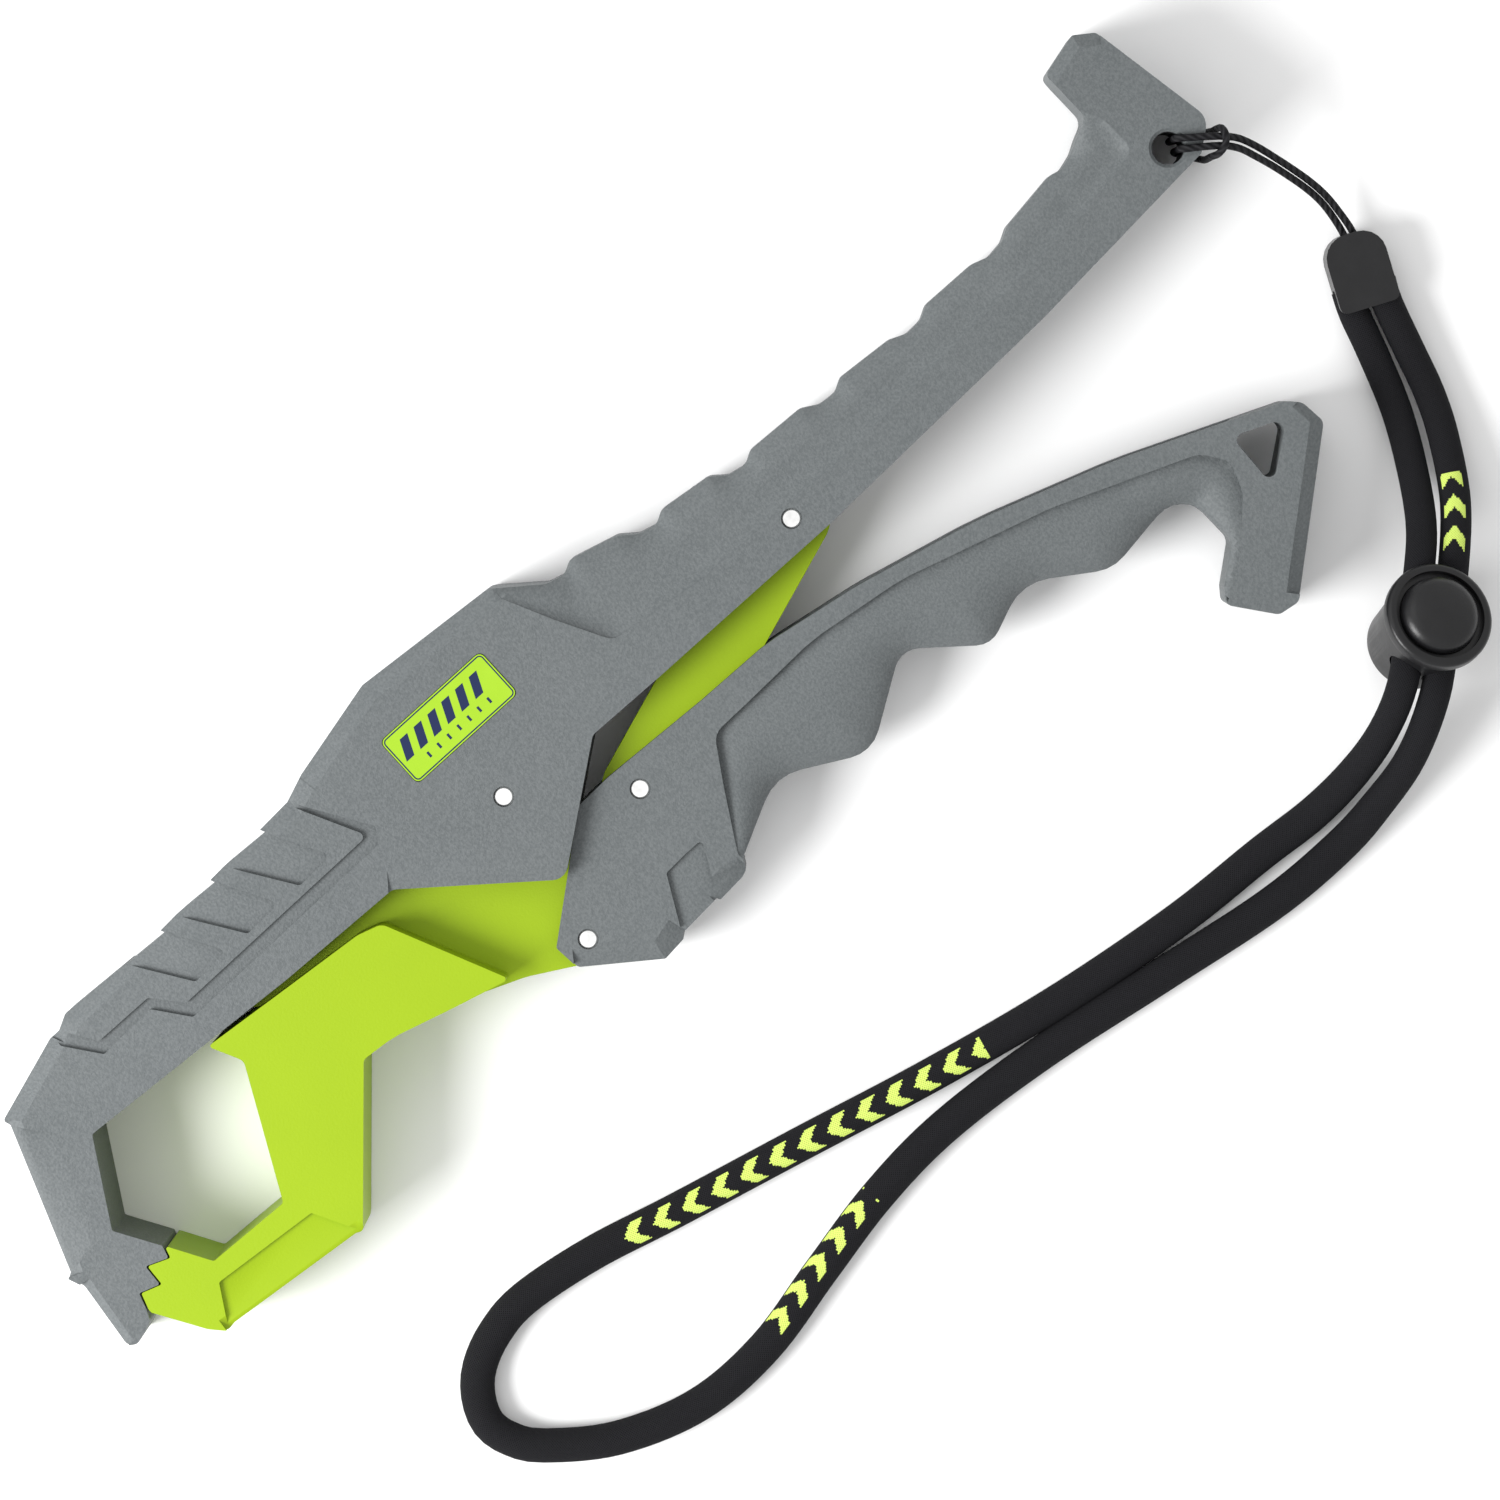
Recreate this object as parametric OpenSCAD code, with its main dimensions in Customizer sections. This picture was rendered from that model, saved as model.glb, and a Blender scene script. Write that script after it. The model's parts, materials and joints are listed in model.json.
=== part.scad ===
// Lip grip for landing fish: a one-piece hook frame and handle, a moving jaw, a toggle link, a trigger
// and a wrist lanyard with a cord lock.
// It lies flat: x runs from the jaws to the end of the handle, y to the back of the handle, z is thickness.

/* [Reach and grip] */
// Reach of the hook in front of the jaw pin
jaw_reach = 103; // [90:1:125]
// Length of the handle behind the link pin
handle_l = 89; // [74:1:108]

/* [Thickness] */
// Thickness of the frame and of the jaws
frame_t = 18; // [15:0.2:22]
// Wall of the frame on each side of its slot
frame_cheek = 2.2; // [1.8:0.1:2.7]
// Gap between the frame's cheeks and the trigger, on each side
side_gap = 0.4; // [0.3:0.1:0.8]
// Thickness of the toggle link and of the jaw's tang
link_t = 6; // [5:0.1:7.2]
// Gap between the link and the trigger's cheeks, on each side
link_gap = 0.5; // [0.3:0.1:0.8]
// Depth of the grip surfaces below the flat bands
grip_drop = 1.3; // [0.6:0.1:1.6]
// Depth of the rib panel and of the other moulded recesses
panel_drop = 0.7; // [0.4:0.1:1]

/* [Pins] */
// Diameter of the four steel pins
pin_d = 3.2; // [2.6:0.1:3.9]
// Radial gap between a pin and what turns on it
pin_gap = 0.05; // [0.03:0.01:0.1]
// Radial gap of the link's lower eye, where the linkage needs play
free_eye_gap = 0.3; // [0.25:0.05:0.5]
// Width of the toggle link
link_w = 12.2; // [10.2:0.1:14.7]

/* [Return spring] */
// Wire of the jaw spring
spring_wire = 1; // [0.8:0.1:1.2]
// Coil radius of the jaw spring, at the middle of the wire
spring_r = 3; // [2.9:0.1:3.6]

/* [Badge] */
// Length of the badge
badge_l = 21; // [17:0.5:23]
// Height of the badge
badge_h = 8.7; // [7:0.1:9.5]

/* [Lanyard] */
// Diameter of the lanyard hole
lanyard_hole_d = 5.1; // [4.6:0.1:6.2]
// Diameter of the thin tether
tether_d = 1.1; // [0.9:0.05:1.3]
// Diameter of the wrist cord
cord_d = 4.6; // [4:0.1:5]
// Diameter of the lock's barrel
barrel_d = 15.6; // [15.2:0.1:17]
// Travel of the lock's button
button_travel = 2.4; // [1.5:0.1:2.4]

/* [Hidden] */
mid = frame_t / 2;
slot_t = frame_t - 2 * frame_cheek;
trigger_t = slot_t - 2 * side_gap;
trigger_slot_t = link_t + 2 * link_gap;
arc_step = 18;

// Pin centres, with the jaw pin at the origin of the plan
jaw_pin_at = [0, 0];
trigger_pin_at = [-6.7, -25.1];
link_pin_at = [15.7, -14.2];
handle_pin_at = [62.2, -1];

// The plan is stretched in front of the jaws' root and behind the handle pin
jaw_root_x = -24;
front_stretch = (jaw_reach + jaw_root_x) / 79;
rear_stretch = handle_l / 89;
function plan_x(x) = x < jaw_root_x ? jaw_root_x + (x - jaw_root_x) * front_stretch
    : x > handle_pin_at[0] ? handle_pin_at[0] + (x - handle_pin_at[0]) * rear_stretch : x;

// Outlines are lists of [x, y, corner radius], and each corner becomes an arc
function unit(v) = v / norm(v);
function corner(a, b, c) =
    let (u = unit(a - b), v = unit(c - b), half = acos(max(-1, min(1, u * v))) / 2)
    let (room = 0.49 * min(norm(a - b), norm(c - b)))
    let (back = min(b[2] / tan(half), room), r = back * tan(half))
    let (centre = b + unit(u + v) * back / cos(half))
    let (first = b + u * back - centre, turn = sign(u[0] * v[1] - u[1] * v[0]) * -(180 - 2 * half))
    let (steps = max(1, ceil(abs(turn) / arc_step)))
    [for (i = [0:steps]) let (s = i * turn / steps)
        [centre[0] + first[0] * cos(s) - first[1] * sin(s), centre[1] + first[0] * sin(s) + first[1] * cos(s)]];
function flat(p) = [plan_x(p[0]), p[1]];
function rounded(pts) = [for (i = [0:len(pts) - 1])
    let (a = pts[(i + len(pts) - 1) % len(pts)], b = pts[i], c = pts[(i + 1) % len(pts)])
    each b[2] > 0
        ? corner([flat(a)[0], a[1], b[2]] , [flat(b)[0], b[1], b[2]], [flat(c)[0], c[1], b[2]])
        : [flat(b)]];

// Back of the handle: finger crests as [start x, start y, end x, end y], with a groove in front of each
crests = [[33.2, 18.8, 41, 16.3], [48.8, 14.2, 57.6, 12.7], [65.1, 11, 75.1, 10.1],
    [82.9, 9.1, 92.4, 7.9], [100.3, 7.7, 109.8, 7.1], [117.7, 7.4, 127.9, 8.3], [135, 9.5, 138, 10.7]];
function crest_points() = [for (i = [0:len(crests) - 1])
    let (c = crests[i], y0 = i == 0 ? 21 : crests[i - 1][3])
    each [[c[0] - 5.2, (c[1] + y0) / 2 - 1.2, 2], [c[0] - 2.2, c[1] - 1.1, 2],
        [c[0], c[1], 1.5], [c[2], c[3], 2]]];

// The zigzag bite that the hook and the jaw share, from the mouth to the tip
bite = [[-87.7, -12], [-88.4, -14], [-91.9, -12.4], [-92.3, -16], [-95.6, -14.7], [-96.6, -17.3]];
bite_gap = 0.25;

frame_outline = concat(
    [[-91.6, 19.4, 0.5], [-77.2, 23.3, 1], [-75.3, 23.2, 0.5], [-72.7, 24.4, 1], [-58.2, 23, 0.5],
        [-24.6, 23.2, 0.4], [-20, 24.7, 1], [-3.4, 27.8, 2], [21.1, 24.6, 1.5]],
    crest_points(),
    [[138.2, 19.7, 1], [145.4, 21.2, 0.6], [148.3, 18.9, 1], [151.3, -2.6, 3], [146.7, -5.8, 1],
        [111.7, -6.6, 20], [65.6, -5.8, 20], [30.1, -3.9, 2], [16.6, -3, 1.5], [-2.4, -15.9, 2.5],
        [-22.6, 2, 2], [-44.1, 3.7, 10], [-83, 8.1, 0.6], [-91.6, -4.8, 0.6]],
    [for (p = bite) [p[0], p[1], 0.3]],
    [[-97.5, -19, 1], [-101.4, -20.2, 1.2], [-102.9, -19.2, 1.2], [-101, -7.9, 1.5], [-101.9, -5.3, 0.3],
        [-101, -4.8, 0.3], [-91.2, 18.1, 0.3]]);
frame_slot = [[-60, -60, 0], [-60, 19.6, 2], [-22, 20.2, 2], [-3.4, 24.4, 2], [19.5, 21.4, 2],
    [27, 14.8, 2], [46, 10.3, 2], [64, 6.6, 2], [80, 4.9, 2], [98, 3.1, 2], [116, 2.8, 2], [133.5, 3.4, 1],
    [133.5, -60, 0]];
handle_recess = [[21.6, 40, 0], [21.6, 22, 0.5], [25.1, 13.8, 2], [29.3, 5.2, 2.5], [45.3, 2.2, 6],
    [76.3, -0.1, 20], [127.1, 0.4, 6], [139.7, 1.9, 2], [139.7, 8.5, 2], [138.2, 12, 1], [137.4, 40, 0]];
rib_step = [[-24.3, 40, 0], [-24.3, 23, 0.3], [-17.4, 10.9, 0.5], [-18.9, 8.5, 1], [-58.7, 9.9, 0.5],
    [-62.6, 15.5, 0.5], [-72.7, 15.6, 0.5], [-76.6, 21.3, 0.3], [-76.6, 40, 0]];
rib_panel = [[-24.8, 41, 0], [-24.8, 22.9, 0.4], [-19.3, 10.7, 0.8], [-57.9, 12.2, 0.5],
    [-61.6, 17, 0.5], [-71.8, 17.6, 0.5], [-75, 23, 0.3], [-75, 41, 0]];
rib_window = [[-25.4, 12.5, 0.8], [-32.3, 12.6, 0.8], [-40.3, 25.9, 0], [-33, 27.5, 0]];
window_pitch = [-11.1, 0.45];
// The edge steps in where each rib ends, in a shallow sawtooth
rib_tooth = [[-30.3, 22.3, 0], [-32, 25.8, 0], [-40, 25.8, 0], [-38.6, 23.1, 0]];
hook_panel = [[-91, 17.8, 0], [-89.9, 16.2, 0.5], [-86.8, 12.2, 0.8], [-94.4, -4.5, 0.4],
    [-101, -4.8, 0], [-108, -5, 0], [-98, 19, 0]];
tether_relief = [[141.3, 1.2, 1], [145.5, 2.6, 1], [156, -2, 0], [156, -12, 0], [144, -12, 0],
    [141, -4.5, 1]];

jaw_outline = concat(
    [[-60.4, 5, 0.4], [-46.8, 3, 10], [-31.5, 0.8, 3], [-27.6, -0.6, 2], [-19.5, -20.8, 0.5],
        [-28.9, -17.8, 12], [-38.9, -14.4, 12], [-44.6, -13.6, 1], [-63.9, -32.6, 0.8],
        [-65, -32, 0.6], [-88.4, -28.5, 0.8], [-90, -28.7, 1], [-92, -26.3, 3], [-96.4, -18.2, 0.4]],
    [for (i = [len(bite) - 1:-1:0]) [bite[i][0] + bite_gap, bite[i][1] - bite_gap, 0.3]],
    [[-83.7, -19.4, 0.6], [-69.5, -20.6, 0.6], [-58, -0.5, 1.5]]);
jaw_panel = [[-67.5, -24.8, 0.5], [-85.5, -22.3, 0.5], [-89.2, -27.8, 0.2], [-90, -40, 0],
    [-60, -40, 0], [-64.4, -31.3, 0.3]];
tang_outline = [[-50, 3, 0], [-57, 8, 2], [-52, 14, 4], [-14, 12, 14], [0, 13, 12], [9.4, 5, 8],
    [8, -6, 8], [-2.2, -20, 20], [-1.6, -26, 5], [-6.7, -29.6, 3], [-11.5, -26.8, 3], [-18.1, -22.6, 10],
    [-28.9, -17.6, 8], [-38.9, -14.2, 4], [-46, -8, 0]];

trigger_outline = [[-11.2, -22.6, 0.6], [7, -9.3, 1], [13.3, -9.4, 3], [32.1, -11.2, 20],
    [45.8, -12.1, 20], [61.8, -15.6, 30], [82, -21.5, 60], [104.1, -30.2, 60], [129, -42.2, 1.5],
    [131, -44.2, 2], [131.3, -48.8, 1.5], [110.3, -64.9, 1], [108.8, -65.9, 1.5], [105.3, -65.2, 1.5],
    [100.5, -58.3, 1.2], [102.2, -56.2, 1], [108.2, -51.8, 2], [108.3, -40.6, 8], [92, -42.2, 7],
    [80.5, -33.6, 8], [70.3, -37.2, 4], [59.7, -27.6, 4], [45.2, -36, 6], [31.8, -27.8, 8],
    [19.4, -33.2, 1], [18.4, -34.9, 0.8], [17.2, -35.3, 0.6], [12.2, -35.4, 0.3], [12, -34.8, 0.3],
    [4.4, -34.9, 0.3], [3.8, -35.7, 0.5], [-0.4, -35.9, 0.6], [-11, -27.2, 1]];
trigger_slot = [[-30, 20, 0], [-30, -40, 0], [-8, -34, 0], [-1, -32.2, 2], [15, -31.8, 3], [31.8, -24.8, 8],
    [45, -31.5, 6], [59.7, -24.6, 5], [70, -32.8, 5], [81, -30.6, 8], [92, -38, 6], [104, -37.4, 4],
    [116, -37.6, 1], [122, -38.8, 0.5], [122, 20, 0]];
trigger_recess = [[19.3, -32.2, 1], [20.7, -30, 3], [25.5, -22.7, 3], [30, -16.3, 3], [37.2, -16.5, 8],
    [51.1, -16.7, 20], [67.5, -19.8, 20], [91.7, -28.3, 20], [114, -38.6, 4], [116.8, -43, 3],
    [114.6, -47.8, 4], [107.9, -54, 1], [98, -60, 0], [98, -75, 0], [19, -75, 0]];
trigger_window = [[13.5, -26.4, 0.6], [9.3, -26.4, 0.6], [4.2, -35, 0.2], [3, -42, 0], [14, -42, 0],
    [12.3, -34.5, 0.2], [17, -26.6, 0.6]];
hang_hole = [[119.4, -40.3, 1.2], [127.6, -44.2, 1.4], [118.6, -50.4, 1.2]];

// The origin is under the middle of the grip's box, without the lanyard
frame_plan = rounded(frame_outline);
trigger_plan = rounded(trigger_outline);
x_low = min([for (p = frame_plan) p[0]]);
x_high = max([for (p = frame_plan) p[0]]);
y_high = max([for (p = frame_plan) p[1]]);
y_low = min([for (p = trigger_plan) p[1]]);
origin_shift = [-(x_low + x_high) / 2, -(y_low + y_high) / 2, 0];

// Lanyard
lanyard_hole_at = [143.7, -1.6];
relief_depth = 1.4;
coupler_at = [152.4, -36.6, 3.3];
coupler_turn = -118;
coupler_l = 12;
coupler_w = 9.6;
coupler_t = 6.4;
socket_l = 4;
strand_pitch = 5.5;
lock_at = [116.6, -84.3, 3.6];
lock_turn = 14;
lock_tilt = 27;
lock_bore_turn = 203;
lock_bore_dip = 15;
lock_bore_h = 8.6;
lock_bore_d = cord_d + 0.6;
flange_d = 17.2;
flange_t = 2.4;
barrel_h = 14.6;
barrel_floor = 1;
plunger_d = 12.5;
plunger_gap = 0.08;
plunger_low = 5;
button_proud = 1.3;
button_crown = 1.4;
lock_wire = 0.5;

// Route of the tether: out of the coupler, round the corner of the handle through its hole, and back
tether_route = [[154.5, -34.2, 3.3], [155.9, -31.6, 3.4], [156.6, -27.2, 4.4], [156.7, -24, 6],
    [156.3, -20.9, 8], [155.6, -17.8, 10.2], [154.8, -14.8, 12.4], [153.8, -11.3, 14.6], [152.6, -8.4, 16.8],
    [151.2, -6.6, 18.3], [149.6, -5, 18.7], [147.6, -3.2, 18.7], [146, -1.8, 18.7], [145.5, -1.3, 17.5],
    [145.5, -1.3, 9], [145.5, -1.3, 1.8], [146.1, -1.7, 0.8], [149.8, -3.8, 0.8], [151.1, -4.7, 2.2],
    [151.1, -4.8, 9], [151.1, -4.8, 16.5], [151.6, -5.2, 18.8], [151.3, -6.3, 19.8], [150.2, -7.4, 19.8],
    [148.6, -7.7, 18.8], [147.6, -7.3, 16.5], [147.5, -7.3, 9], [147.4, -7.2, 2.2], [146.8, -6.2, 0.8],
    [145.2, -3.6, 0.8], [144.9, -3, 1.8], [144.9, -3, 9], [144.9, -3, 17.5], [145.3, -3.4, 18.7],
    [146.8, -4.6, 18.7], [148.6, -6.1, 18.7], [150.2, -7.6, 18.1], [151.6, -9.6, 16.6], [152.6, -12.2, 14.6],
    [153.6, -15.2, 12.4], [154.4, -18.1, 10.2], [155.1, -21.1, 8], [155.5, -24, 6], [155.4, -27, 4.4],
    [154.6, -30.9, 3.4], [153.2, -33.6, 3.3]];
// Route of the wrist cord: out of the coupler, through the lock, round the wrist and back
cord_route = [[148.85, -37.4, 3.3], [146.9, -41.1, 3.3], [144.2, -47.6, 3], [141, -56, 2.9],
    [136.4, -64.4, 4.4],
    [131.4, -71.2, 7.4], [126.4, -75.6, 10.1], [118.9, -81.1, 11.8], [111.3, -86.7, 13.3],
    [104, -90.2, 9.8], [96.3, -92, 5.8], [87.5, -92.4, 3.3], [77, -91.4, 2.4], [60, -89.8, 2.4],
    [37.6, -85.1, 2.4], [15, -79.4, 2.4], [-7, -72.7, 2.4], [-28.4, -66.2, 2.4], [-45, -61.2, 2.4],
    [-57, -59, 2.4], [-66.5, -60.8, 2.4], [-72.6, -66, 2.4], [-73.8, -72.2, 2.4], [-70, -78.6, 2.4],
    [-61, -85.6, 2.4], [-48, -90.8, 2.4], [-34, -91.6, 2.4], [-19, -89.2, 2.4], [-4, -87, 2.4],
    [11, -86.8, 2.4], [30, -89, 2.4], [52, -94, 2.4], [72.4, -98.2, 2.4], [86.4, -99.2, 2.8],
    [95.5, -98.3, 4.8], [104.5, -96.2, 8.8], [114.4, -91.2, 12.5], [121.9, -85.6, 10.8],
    [129.5, -80, 9.2], [137.4, -73, 6], [143.4, -64.6, 3.8], [146.6, -58.4, 2.9],
    [149, -51.4, 3], [151.8, -43.6, 3.3], [153.75, -39.95, 3.3]];

// One solid tube along a route, with a ring of corners at each point
function tangent(route, i) = unit(route[min(i + 1, len(route) - 1)] - route[max(i - 1, 0)]);
function across(n, t) = unit(n - t * (n * t));
function side_vectors(route) = [for (i = 0, n = across([0.1, 0.2, 1], tangent(route, 0)); i < len(route);
    i = i + 1, n = i < len(route) ? across(n, tangent(route, i)) : n) n];
module tube(route, d, sides) {
    sideways = side_vectors(route);
    rings = len(route);
    points = [for (i = [0:rings - 1]) let (t = tangent(route, i), n = sideways[i], b = cross(t, n))
        for (k = [0:sides - 1]) route[i] + (n * cos(k * 360 / sides) + b * sin(k * 360 / sides)) * d / 2];
    walls = [for (i = [0:rings - 2]) for (k = [0:sides - 1])
        [i * sides + k, (i + 1) * sides + k, (i + 1) * sides + (k + 1) % sides, i * sides + (k + 1) % sides]];
    polyhedron(points, concat(walls,
        [[for (k = [0:sides - 1]) k], [for (k = [sides - 1:-1:0]) (rings - 1) * sides + k]]));
}

// Building blocks
module prism(pts, t) {
    translate([0, 0, mid - t / 2]) linear_extrude(t) polygon(rounded(pts));
}
module both_faces() {
    children();
    translate([0, 0, frame_t]) mirror([0, 0, 1]) children();
}
// A recess of one outline, cut into the top face of a moulding of thickness t
module recess(pts, t, depth) {
    translate([0, 0, mid + t / 2 - depth]) linear_extrude(depth + 1) polygon(rounded(pts));
}
// A sloping flat along the top edge from a to b, w wide and d deep, with the outside on the left
module bevel(a, b, t, w, d, over = 0.6) {
    p = flat(a);
    q = flat(b);
    translate([p[0], p[1], mid + t / 2]) rotate([0, 0, atan2(q[1] - p[1], q[0] - p[0])])
        rotate([90, 0, 90]) translate([0, 0, -over]) linear_extrude(norm(q - p) + 2 * over)
            polygon([[-w, 0], [2, -d * (w + 2) / w], [2, 2], [-w, 2]]);
}
module bore(at, r) {
    translate([at[0], at[1], -1]) cylinder(h = frame_t + 2, r = r, $fn = 48);
}
// A straight pin with a small chamfer at each end
module pin(at, l) {
    chamfer = 0.3;
    translate([at[0], at[1], mid - l / 2]) {
        cylinder(h = chamfer, r1 = pin_d / 2 - chamfer, r2 = pin_d / 2, $fn = 48);
        translate([0, 0, chamfer]) cylinder(h = l - 2 * chamfer, r = pin_d / 2, $fn = 48);
        translate([0, 0, l - chamfer]) cylinder(h = chamfer, r1 = pin_d / 2, r2 = pin_d / 2 - chamfer, $fn = 48);
    }
}
module placed() {
    translate(origin_shift) children();
}

// Grey frame: hook, body and handle in one moulding, open along its lower edge
press_gap = 0.02;
pin_recess = 0.2;
badge_at = [2.7, 14.7];
badge_turn = -2.8;
badge_t = 0.8;
badge_proud = 0.15;
badge_gap = 0.1;
badge_r = 1;
post_r = 1.2;
post_at = [9.2, 6.2];
module badge_slab(grow, h) {
    l = badge_l / 2 + grow;
    w = badge_h / 2 + grow;
    linear_extrude(h) polygon([for (p = rounded([[-l, -w, badge_r], [l, -w, badge_r], [l, w, badge_r],
        [-l, w, badge_r]])) p]);
}
module at_badge(z) {
    translate([badge_at[0], badge_at[1], z]) rotate([0, 0, badge_turn]) children();
}
module frame_bevels() {
    bevel([-91.6, 19.4], [-77.2, 23.3], frame_t, 2.6, 1.5);
    bevel([-76, 22.9], [-72.7, 24.4], frame_t, 2.8, 1.5);
    bevel([-72.7, 24.4], [-24.8, 23.3], frame_t, 3, 1.6);
    bevel([-24.6, 23.2], [-20, 24.7], frame_t, 2.8, 1.5);
    bevel([-20, 24.7], [-3.4, 27.8], frame_t, 3, 1.6);
    bevel([-3.4, 27.8], [21.1, 24.6], frame_t, 3, 1.6);
    bevel([-2.4, -15.9], [-22.6, 2], frame_t, 3, 0.5);
    bevel([145.4, 21.2], [148.3, 18.9], frame_t, 2, 1.2);
    bevel([138.2, 19.7], [145.4, 21.2], frame_t, 2, 1.2);
    bevel([-101, -4.8], [-91.2, 18.1], frame_t, 2, 1.1);
    bevel([-102.9, -18.6], [-101, -7.9], frame_t, 1.5, 1);
}
module hook_frame() {
    hole_chamfer = 0.5;
    color([0.48, 0.5, 0.51]) placed() {
        difference() {
            prism(frame_outline, frame_t);
            prism(frame_slot, slot_t);
            for (i = [0:2]) translate([window_pitch[0] * i, 0, 0]) prism(rib_tooth, frame_t + 2);
            both_faces() {
                recess(handle_recess, frame_t, grip_drop);
                difference() {
                    recess(rib_step, frame_t, panel_drop);
                    recess(rib_panel, frame_t, panel_drop + 1);
                }
                for (i = [0:2]) translate([window_pitch[0] * i, window_pitch[1] * i, 0])
                    recess(rib_window, frame_t, panel_drop);
                recess(hook_panel, frame_t, panel_drop);
                frame_bevels();
                translate([lanyard_hole_at[0], lanyard_hole_at[1], frame_t - hole_chamfer])
                    cylinder(h = 2 * hole_chamfer, r1 = lanyard_hole_d / 2,
                        r2 = lanyard_hole_d / 2 + 2 * hole_chamfer, $fn = 48);
            }
            translate([0, 0, -1]) linear_extrude(relief_depth + 1) polygon(rounded(tether_relief));
            at_badge(frame_t + badge_proud - badge_t) badge_slab(badge_gap, badge_t + 1);
            bore(lanyard_hole_at, lanyard_hole_d / 2);
            for (at = [jaw_pin_at, handle_pin_at]) bore(at, pin_d / 2 + press_gap);
        }
        // Post that holds the fixed leg of the jaw spring
        translate([post_at[0], post_at[1], mid + link_t / 2 + 0.4])
            cylinder(h = slot_t / 2 - link_t / 2 - 0.4 + 0.5, r = post_r, $fn = 32);
    }
}

// Lime jaw: a thick outer part with the bite, on a thin tang that runs between the frame's cheeks
module moving_jaw() {
    hub_r = 6;
    sleeve_r = spring_r - spring_wire / 2 - 0.15;
    hub_h = slot_t / 2 - link_t / 2 - 0.3;
    color([0.72, 0.88, 0.1]) placed() difference() {
        union() {
            prism(jaw_outline, frame_t);
            prism(tang_outline, link_t);
            translate([0, 0, mid - link_t / 2 - hub_h]) cylinder(h = hub_h + 0.5, r = hub_r, $fn = 48);
            translate([0, 0, mid + link_t / 2 - 0.5]) cylinder(h = hub_h + 0.5, r = sleeve_r, $fn = 48);
        }
        both_faces() {
            recess(jaw_panel, frame_t, panel_drop);
            bevel([-63.9, -32.6], [-89.5, -28.6], frame_t, 2, 1.2);
        }
        bore(jaw_pin_at, pin_d / 2 + pin_gap);
        bore(trigger_pin_at, pin_d / 2 + pin_gap);
    }
}

// Lime link: a flat bar with round ends, and play in its lower eye
module toggle_link() {
    along = handle_pin_at - link_pin_at;
    color([0.66, 0.85, 0.08]) placed() difference() {
        translate([0, 0, mid - link_t / 2]) {
            for (at = [link_pin_at, handle_pin_at]) translate([at[0], at[1], 0])
                cylinder(h = link_t, r = link_w / 2, $fn = 64);
            translate([link_pin_at[0], link_pin_at[1], 0]) rotate([0, 0, atan2(along[1], along[0])])
                translate([0, -link_w / 2, 0]) cube([norm(along), link_w, link_t]);
        }
        bore(link_pin_at, pin_d / 2 + free_eye_gap);
        bore(handle_pin_at, pin_d / 2 + pin_gap);
    }
}

// Grey trigger: a grip moulding with a deep slot in its rim for the link and the jaw's tang
module trigger() {
    color([0.48, 0.5, 0.51]) placed() difference() {
        prism(trigger_outline, trigger_t);
        prism(trigger_slot, trigger_slot_t);
        both_faces() {
            recess(trigger_recess, trigger_t, grip_drop);
            recess(trigger_window, trigger_t, panel_drop);
            bevel([18.4, -34.9], [12.1, -35.2], trigger_t, 3.2, 1.4);
            bevel([4.4, -34.9], [-0.4, -35.9], trigger_t, 3, 1.4);
            bevel([-0.4, -35.9], [-11, -27.2], trigger_t, 3, 1.4);
            bevel([131, -44.2], [131.3, -48.8], trigger_t, 1.6, 1);
            bevel([131.3, -48.8], [110.3, -64.9], trigger_t, 2.2, 1.4);
        }
        prism(hang_hole, frame_t);
        bore(trigger_pin_at, pin_d / 2 + press_gap);
        bore(link_pin_at, pin_d / 2 + press_gap);
    }
}

module jaw_pin() {
    color("silver") placed() pin(jaw_pin_at, frame_t - 2 * pin_recess);
}
module handle_pin() {
    color("silver") placed() pin(handle_pin_at, frame_t - 2 * pin_recess);
}
module trigger_pin() {
    color("silver") placed() pin(trigger_pin_at, trigger_t - 2 * pin_recess);
}
module link_pin() {
    color("silver") placed() pin(link_pin_at, trigger_t - 2 * pin_recess);
}

// Torsion spring round the jaw's sleeve: one leg on the jaw's tang, the other beside the frame's post
module jaw_spring() {
    turns = 2;
    per_turn = 16;
    rise = spring_wire + 0.08;
    low = mid + link_t / 2 + spring_wire / 2 + 0.1;
    leg = 9;
    start = 130;
    coil = [for (i = [0:turns * per_turn]) let (a = start - i * 360 / per_turn)
        [spring_r * cos(a), spring_r * sin(a), low + rise * i / per_turn]];
    first_leg = coil[0] + leg * [sin(start) * -1, cos(start), 0];
    last_leg = coil[len(coil) - 1] + leg * [sin(start), -cos(start), 0];
    color("silver") placed() tube(concat([first_leg], coil, [last_leg]), spring_wire, 8);
}

module badge() {
    color([0.67, 0.86, 0.27]) placed() at_badge(frame_t + badge_proud - badge_t) badge_slab(0, badge_t);
}

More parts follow.
